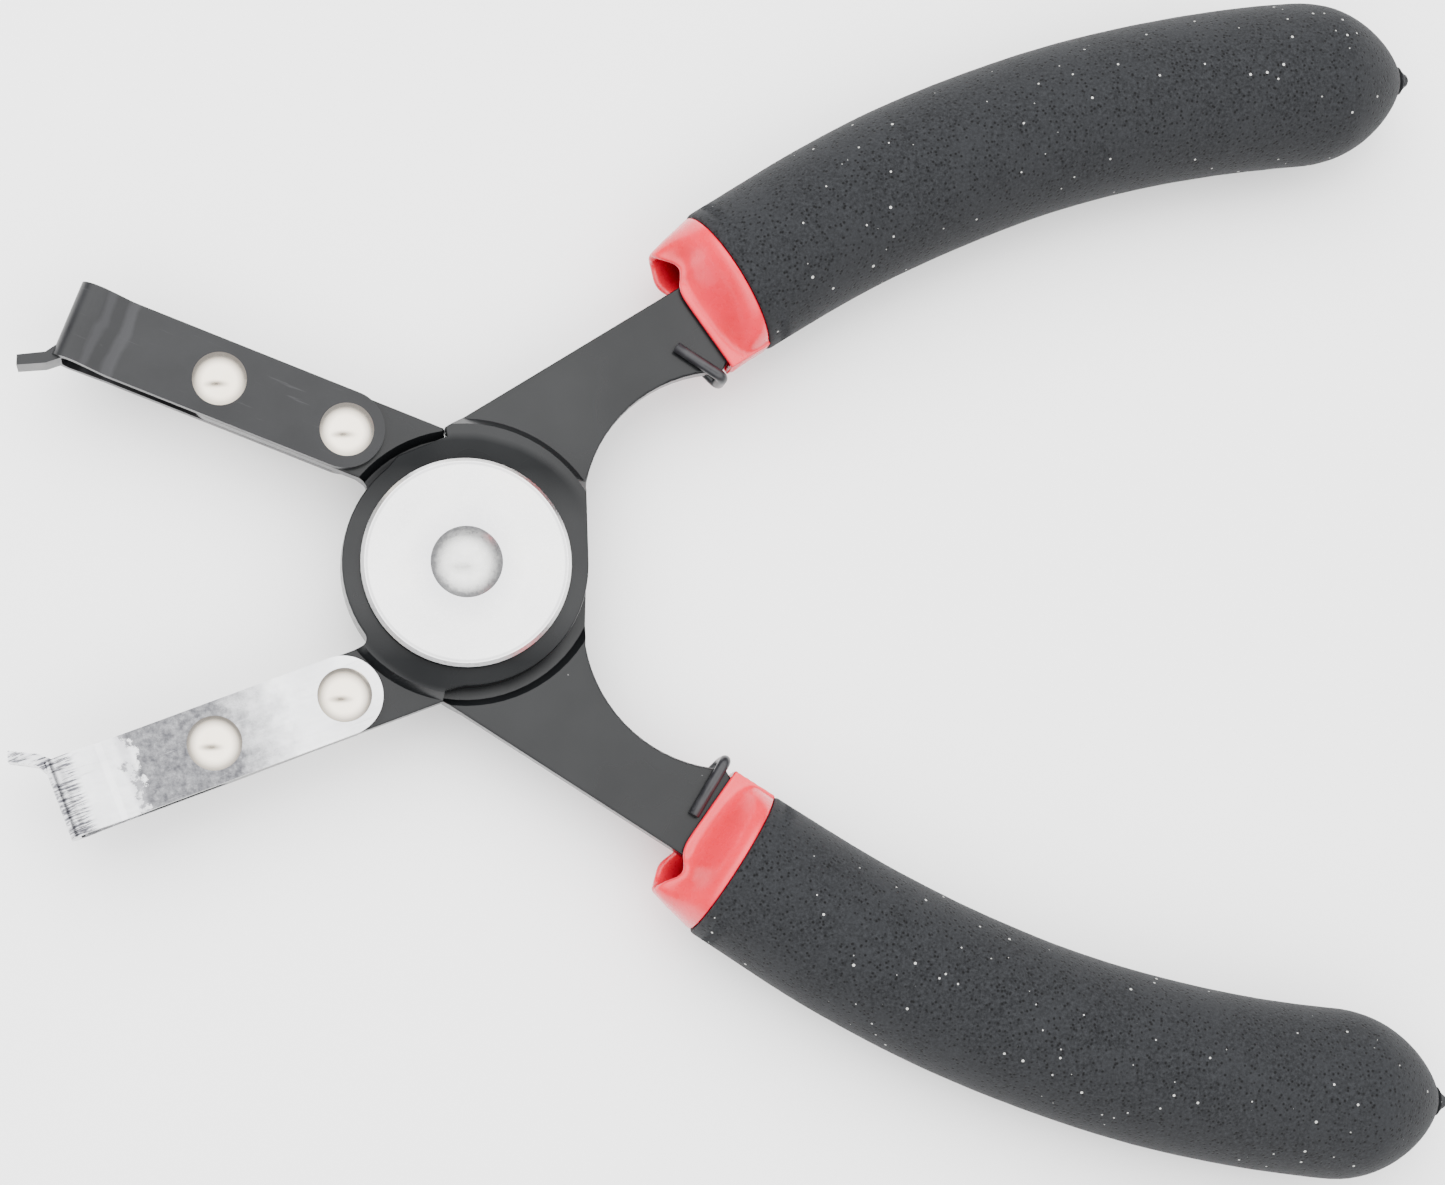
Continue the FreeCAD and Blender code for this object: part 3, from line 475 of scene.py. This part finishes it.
def speckles(look, scale, share, size, channel="Red"):
    """Sparse dots: a share of the cells, each with a dot of that size."""
    made = look.node("ShaderNodeTexVoronoi")
    made.inputs["Scale"].default_value = scale
    look.link(look.place, made.inputs["Vector"])
    split = look.node("ShaderNodeSeparateColor")
    look.link(made.outputs["Color"], split.inputs["Color"])
    rare = look.maths("GREATER_THAN", split.outputs[channel], 1 - share)
    reach = look.maths("MULTIPLY", split.outputs["Blue"], size)
    dot = look.maths("LESS_THAN", made.outputs["Distance"], reach)
    return look.maths("MULTIPLY", rare, dot)


def foam_look():
    look = Look("foam_black", Specular_IOR_Level=0.16, Sheen_Weight=0.03, Sheen_Roughness=0.6)
    grain = look.noise(2300, 4, 0.70)
    patches = look.noise(120, 4, 0.55)
    shade = look.mixed(look.ranged(grain, 0.34, 0.66), (0.0034, 0.0038, 0.0046), (0.0205, 0.0216, 0.0238))
    shade = look.mixed(look.ranged(patches, 0.42, 0.72, 0.0, 0.55), shade, (0.0170, 0.0180, 0.0200))
    # Painted shade darkens the pores, the bigger ones most.
    pits = look.ranged(look.cells(1300), 0.14, 0.34)
    shade = look.mixed(pits, (0.0012, 0.0014, 0.0016), shade)
    big_pits = look.ranged(look.cells(620), 0.05, 0.12)
    shade = look.mixed(big_pits, (0.0010, 0.0010, 0.0012), shade)
    shade = look.mixed(speckles(look, 1150, 0.070, 0.26), shade, (0.42, 0.42, 0.40))
    shade = look.mixed(speckles(look, 420, 0.018, 0.12, "Green"), shade, (0.55, 0.54, 0.50))
    look.bump(grain, 0.60, 0.14)
    look.bump(pits, 0.55, 0.12)
    look.bump(patches, 0.25, 0.35)
    return look.finish(shade, look.ranged(grain, 0.2, 0.8, 0.74, 0.92))


def vinyl_look():
    look = Look("vinyl_red", Specular_IOR_Level=0.5, Subsurface_Weight=0.10, Subsurface_Scale=0.0012,
                Coat_Weight=0.22, Coat_Roughness=0.10)
    drift = look.noise(140, 3, 0.5)
    fine = look.noise(900, 2, 0.5)
    shade = look.mixed(look.ranged(drift, 0.3, 0.7), (0.56, 0.003, 0.018), (0.70, 0.006, 0.032))
    look.bump(drift, 0.22, 0.25)
    look.bump(fine, 0.05, 0.05)
    return look.finish(shade, look.ranged(fine, 0.3, 0.7, 0.22, 0.34))


def from_pivot(look):
    """Distance from the pivot's axis, metres."""
    split = look.node("ShaderNodeSeparateXYZ")
    look.link(look.place, split.inputs["Vector"])
    squares = [look.maths("MULTIPLY", split.outputs[axis], split.outputs[axis]) for axis in "XY"]
    return look.maths("POWER", look.maths("ADD", *squares), 0.5)


def paint_look():
    look = Look("paint_black")
    drift = look.noise(60, 3, 0.5)
    peel = look.noise(700, 2, 0.5)
    shade = look.mixed(look.ranged(drift, 0.3, 0.7), (0.0030, 0.0034, 0.0038), (0.0065, 0.0070, 0.0076))
    dust = speckles(look, 700, 0.020, 0.22, "Green")
    shade = look.mixed(look.maths("MULTIPLY", dust, 0.6), shade, (0.30, 0.30, 0.30))
    look.bump(peel, 0.10, 0.05)
    look.bump(drift, 0.14, 0.35)
    # Painted shade: the hub is given less shine towards the two handles than at its sides.
    split = look.node("ShaderNodeSeparateXYZ")
    look.link(look.place, split.inputs["Vector"])
    sideways = look.maths("MULTIPLY", split.outputs["Y"], split.outputs["Y"])
    reach = look.maths("ADD", from_pivot(look), look.ranged(drift, 0.3, 0.7, -0.0004, 0.0004))
    hub_shade = look.maths("MULTIPLY", look.ranged(sideways, 0.006 ** 2, 0.014 ** 2),
                        look.ranged(reach, 0.0192, 0.0180))
    shine = look.maths("ADD", look.maths("MULTIPLY", hub_shade, -0.19),
                       look.ranged(drift, 0.3, 0.7, 0.27, 0.31))
    look.link(shine, look.shader.inputs["Specular IOR Level"])
    return look.finish(shade, look.ranged(drift, 0.3, 0.7, 0.22, 0.32))


def along_jaw(look, turn):
    """How far a point lies from the pivot along the jaw, metres."""
    turned = look.node("ShaderNodeMapping")
    turned.inputs["Rotation"].default_value = (0, 0, turn)
    look.link(look.place, turned.inputs["Vector"])
    split = look.node("ShaderNodeSeparateXYZ")
    look.link(turned.outputs["Vector"], split.inputs["Vector"])
    return look.maths("MULTIPLY", split.outputs["X"], -1.0)


def jaw_black_look(turn):
    look = Look("jaw_black", Specular_IOR_Level=0.29)
    drift = look.noise(110, 4, 0.55)
    streaks = look.noise(1.0, 3, 0.6, look.scaled((120, 1500, 500), turn))
    shade = look.mixed(look.ranged(drift, 0.3, 0.7), (0.0055, 0.0058, 0.0066), (0.0120, 0.0124, 0.0135))
    shade = look.mixed(look.ranged(streaks, 0.66, 0.74, 0.0, 0.30), shade, (0.045, 0.045, 0.048))
    # Painted highlights: paler bands across the jaw on the bends near the tip.
    place = look.maths("ADD", along_jaw(look, turn), look.ranged(drift, 0.3, 0.7, -0.0006, 0.0006))
    for start, end in ((0.0562, 0.0576), (0.0598, 0.0607)):
        bend_highlight = look.maths("MULTIPLY", look.ranged(place, start - 0.0004, start + 0.0002),
                          look.ranged(place, end + 0.0004, end - 0.0002))
        shade = look.mixed(look.maths("MULTIPLY", bend_highlight, 0.35), shade, (0.040, 0.040, 0.044))
    shade = look.mixed(look.maths("MULTIPLY", speckles(look, 600, 0.02, 0.2), 0.5), shade, (0.25, 0.25, 0.25))
    look.bump(streaks, 0.08, 0.04)
    look.bump(drift, 0.14, 0.15)
    return look.finish(shade, look.ranged(drift, 0.3, 0.7, 0.28, 0.42))


def plating_look(turn):
    look = Look("jaw_plating", Metallic=1.0)
    drift = look.noise(120, 4, 0.6)
    streaks = look.noise(1.0, 4, 0.6, look.scaled((90, 1700, 600), turn))
    mottle = look.noise(900, 6, 0.75)
    shade = look.mixed(look.ranged(drift, 0.3, 0.7), (0.66, 0.665, 0.68), (0.88, 0.885, 0.90))
    # Painted dark reflection round the outer rivet, mottled with a coarse grey grain, fading towards the
    # inner one.
    place = along_jaw(look, turn)
    ragged = look.maths("ADD", place, look.ranged(look.noise(420, 4, 0.65), 0.25, 0.75, -0.0030, 0.0030))
    dark_reflection = look.maths("MULTIPLY", look.ranged(ragged, 0.0300, 0.0400), look.ranged(ragged, 0.0542, 0.0534))
    grain = look.ranged(mottle, 0.36, 0.60)
    shade = look.mixed(look.maths("MULTIPLY", dark_reflection, look.ranged(grain, 0.0, 1.0, 0.98, 0.80)), shade,
                       (0.060, 0.060, 0.068))
    shade = look.mixed(look.ranged(mottle, 0.60, 0.72, 0.0, 0.35), shade, (0.42, 0.42, 0.44))
    # Painted dark reflection in streaks on the bend at the tip, where the strip is bent over.
    reflection_streaks = look.noise(1.0, 4, 0.7, look.scaled((260, 2600, 300), turn))
    tip = look.ranged(place, 0.0606, 0.0616)
    shade = look.mixed(look.maths("MULTIPLY", tip, look.ranged(reflection_streaks, 0.46, 0.56, 0.15, 0.95)), shade,
                       (0.07, 0.07, 0.085))
    # Painted darker reflection in a band across the crank bend.
    crank_reflection = look.maths("MULTIPLY", look.ranged(place, 0.0530, 0.0536), look.ranged(place, 0.0552, 0.0544))
    shade = look.mixed(look.maths("MULTIPLY", crank_reflection, 0.45), shade, (0.34, 0.34, 0.36))
    shade = look.mixed(look.ranged(streaks, 0.64, 0.70, 0.0, 0.4), shade, (0.50, 0.50, 0.52))
    look.bump(streaks, 0.10, 0.03)
    look.bump(mottle, 0.25, 0.05)
    look.bump(drift, 0.30, 0.25)
    return look.finish(shade, look.ranged(streaks, 0.3, 0.7, 0.16, 0.28))


def rivet_look():
    look = Look("rivet_nickel", Metallic=1.0)
    drift = look.noise(160, 3, 0.5)
    fine = look.noise(1400, 3, 0.6)
    shade = look.mixed(look.ranged(drift, 0.3, 0.7), (0.84, 0.75, 0.62), (0.93, 0.85, 0.73))
    look.bump(fine, 0.05, 0.02)
    look.bump(drift, 0.10, 0.10)
    return look.finish(shade, look.ranged(fine, 0.3, 0.7, 0.10, 0.18))


def pivot_look():
    look = Look("pivot_steel", Metallic=1.0)
    drift = look.noise(220, 4, 0.6)
    fine = look.noise(1600, 4, 0.6)
    shade = look.mixed(look.ranged(drift, 0.3, 0.7), (0.66, 0.66, 0.64), (0.82, 0.82, 0.80))
    # The head is peened over and left rough round its edge.
    ragged = look.ranged(look.noise(900, 3, 0.6), 0.3, 0.7, -0.0005, 0.0005)
    reach = look.maths("ADD", from_pivot(look), ragged)
    edge = look.ranged(reach, 0.0040, 0.0048)
    shade = look.mixed(look.maths("MULTIPLY", edge, look.ranged(fine, 0.35, 0.65, 0.35, 1.0)), shade,
                       (0.30, 0.30, 0.31))
    look.bump(drift, 0.35, 0.12)
    look.bump(fine, 0.18, 0.03)
    return look.finish(shade, look.ranged(fine, 0.3, 0.7, 0.24, 0.38))


def disc_look():
    look = Look("disc_nickel", Metallic=1.0)
    drift = look.noise(75, 4, 0.55)
    tint = look.noise(45, 2, 0.5)
    fine = look.noise(2100, 3, 0.6)
    shade = look.mixed(look.ranged(drift, 0.3, 0.7), (0.84, 0.84, 0.84), (0.96, 0.96, 0.955))
    shade = look.mixed(look.ranged(tint, 0.52, 0.68, 0.0, 0.5), shade, (0.95, 0.90, 0.82))
    # A greyer halo round the pivot head and a thin darker line inside the rim.
    reach = look.maths("ADD", from_pivot(look), look.ranged(drift, 0.3, 0.7, -0.0006, 0.0006))
    shade = look.mixed(look.ranged(reach, 0.0088, 0.0050, 0.0, 0.55), shade, (0.62, 0.62, 0.65))
    line = look.maths("MULTIPLY", look.ranged(from_pivot(look), 0.01395, 0.01410),
                      look.ranged(from_pivot(look), 0.01445, 0.01430))
    shade = look.mixed(look.maths("MULTIPLY", line, 0.55), shade, (0.42, 0.42, 0.44))
    rings = look.node("ShaderNodeTexWave", wave_type="RINGS", rings_direction="Z")
    rings.inputs["Scale"].default_value = 900
    rings.inputs["Distortion"].default_value = 0.8
    rings.inputs["Detail"].default_value = 2
    look.link(look.place, rings.inputs["Vector"])
    look.bump(rings.outputs["Fac"], 0.03, 0.02)
    look.bump(fine, 0.14, 0.03)
    look.bump(drift, 0.22, 0.25)
    return look.finish(shade, look.ranged(fine, 0.3, 0.7, 0.26, 0.38))


def wire_look():
    look = Look("wire_black", Specular_IOR_Level=0.4)
    drift = look.noise(400, 4, 0.6)
    shade = look.mixed(look.ranged(drift, 0.3, 0.7), (0.007, 0.007, 0.009), (0.020, 0.020, 0.022))
    look.bump(drift, 0.25, 0.06)
    return look.finish(shade, look.ranged(drift, 0.3, 0.7, 0.26, 0.40))


def wear(node, material):
    obj = frame["nodes"][node]
    obj.data.materials.clear()
    obj.data.materials.append(material)


# ---------------------------------------------------------------------------------------------------
# The object
# ---------------------------------------------------------------------------------------------------
SIDES = (
    ("front", "front_half", lambda p: p, 1, 3.1),
    ("rear", "rear_half", turned_over, -1, 8.7),
)
FOAM = foam_look()
VINYL = vinyl_look()
PAINT = paint_look()
RIVET = rivet_look()
PIVOT = pivot_look()
DISC = disc_look()
for which, body, place, open_side, seed in SIDES:
    foam_grip(f"{which}_grip", body, f"{which}_foam_grip", place, seed).data.materials.append(FOAM)
    sleeve(f"{which}_vinyl", body, f"{which}_sleeve", place, open_side).data.materials.append(VINYL)
    wear(f"{which}_lever", PAINT)
torsion_spring("spring_wire_coil").data.materials.append(wire_look())
wear("black_jaw", jaw_black_look(math.radians(21)))
wear("plated_jaw", plating_look(math.radians(-21)))
for jaw in ("plated_jaw", "black_jaw"):
    for spot in ("inner", "outer"):
        wear(f"{jaw}_rivet_{spot}", RIVET)
wear("pivot_rivet", PIVOT)
wear("front_cover_disc", DISC)
wear("rear_cover_disc", DISC)
wear("spring_bush", PIVOT)


# ---------------------------------------------------------------------------------------------------
# Stage, light and camera
# ---------------------------------------------------------------------------------------------------
def floor():
    size, rows = 1400.0, 24
    vertices, faces = [], []
    for i in range(rows + 1):
        for j in range(rows + 1):
            vertices.append((-size / 2 + size * i / rows, -size / 2 + size * j / rows, -0.02))
    for i in range(rows):
        for j in range(rows):
            a = i * (rows + 1) + j
            faces.append((a, a + rows + 1, a + rows + 2, a + 1))
    obj = mesh_object("floor", vertices, faces)
    look = Look("floor_pale", Roughness=0.9, Specular_IOR_Level=0.1)
    shade = look.mixed(look.noise(6, 2, 0.5), (0.90, 0.90, 0.90), (0.92, 0.92, 0.92))
    obj.data.materials.append(look.finish(shade))


def area_light(name, place, target, size, power):
    data = bpy.data.lights.new(name, "AREA")
    data.shape = "SQUARE"
    data.size = size
    data.energy = power
    obj = bpy.data.objects.new(name, data)
    obj.location = place
    obj.rotation_euler = (Vector(target) - Vector(place)).to_track_quat("-Z", "Y").to_euler()
    obj.visible_glossy = False
    bpy.context.scene.collection.objects.link(obj)


def world():
    """An even white studio with a darker patch straight above, where the camera and its stand are."""
    made = bpy.data.worlds.new("studio")
    bpy.context.scene.world = made
    made.use_nodes = True
    tree = made.node_tree
    background = tree.nodes["Background"]
    background.inputs["Strength"].default_value = WORLD_STRENGTH
    place = tree.nodes.new("ShaderNodeTexCoord")
    moved = tree.nodes.new("ShaderNodeVectorMath")
    moved.operation = "SUBTRACT"
    moved.inputs[1].default_value = (-0.157, -0.135, 0.978)
    tree.links.new(place.outputs["Generated"], moved.inputs[0])
    stretched = tree.nodes.new("ShaderNodeVectorMath")
    stretched.operation = "MULTIPLY"
    stretched.inputs[1].default_value = (1.5, 5.0, 1.5)
    tree.links.new(moved.outputs["Vector"], stretched.inputs[0])
    far = tree.nodes.new("ShaderNodeVectorMath")
    far.operation = "LENGTH"
    tree.links.new(stretched.outputs["Vector"], far.inputs[0])
    ramp = tree.nodes.new("ShaderNodeValToRGB")
    ramp.color_ramp.elements[0].position = 0.12
    ramp.color_ramp.elements[0].color = (0.05, 0.045, 0.04, 1)
    ramp.color_ramp.elements[1].position = 1.0
    ramp.color_ramp.elements[1].color = (1.0, 1.0, 1.0, 1)
    tree.links.new(far.outputs["Value"], ramp.inputs["Fac"])
    # Low down the studio falls off to grey, which gives the metal its darker edges and bends.
    height = tree.nodes.new("ShaderNodeSeparateXYZ")
    tree.links.new(place.outputs["Generated"], height.inputs["Vector"])
    walls = tree.nodes.new("ShaderNodeValToRGB")
    walls.color_ramp.elements[0].position = 0.30
    walls.color_ramp.elements[0].color = (0.10, 0.10, 0.105, 1)
    walls.color_ramp.elements[1].position = 0.72
    walls.color_ramp.elements[1].color = (1.0, 1.0, 1.0, 1)
    tree.links.new(height.outputs["Z"], walls.inputs["Fac"])
    both = tree.nodes.new("ShaderNodeMix")
    both.data_type = "RGBA"
    both.blend_type = "MULTIPLY"
    both.inputs["Factor"].default_value = 1.0
    tree.links.new(ramp.outputs["Color"], both.inputs["A"])
    tree.links.new(walls.outputs["Color"], both.inputs["B"])
    tree.links.new(both.outputs["Result"], background.inputs["Color"])


def camera():
    data = bpy.data.cameras.new("photo_view")
    data.sensor_width = 36.0
    data.lens = 79.75
    data.clip_start = 0.01
    data.clip_end = 10.0
    obj = bpy.data.objects.new("photo_view", data)
    right = Vector((0.98739, -0.00785, 0.15810))
    up = Vector((-0.01352, 0.99094, 0.13364))
    back = Vector((-0.15772, -0.13410, 0.97834))
    rotation = Matrix((right, up, back)).transposed()
    obj.matrix_world = Matrix.Translation((-0.03578, -0.06558, 0.46588)) @ rotation.to_4x4()
    bpy.context.scene.collection.objects.link(obj)
    bpy.context.scene.camera = obj


floor()
world()
area_light("key", (-0.25, 0.35, 0.75), (0.04, 0, 0), 0.9, 10.0)
camera()
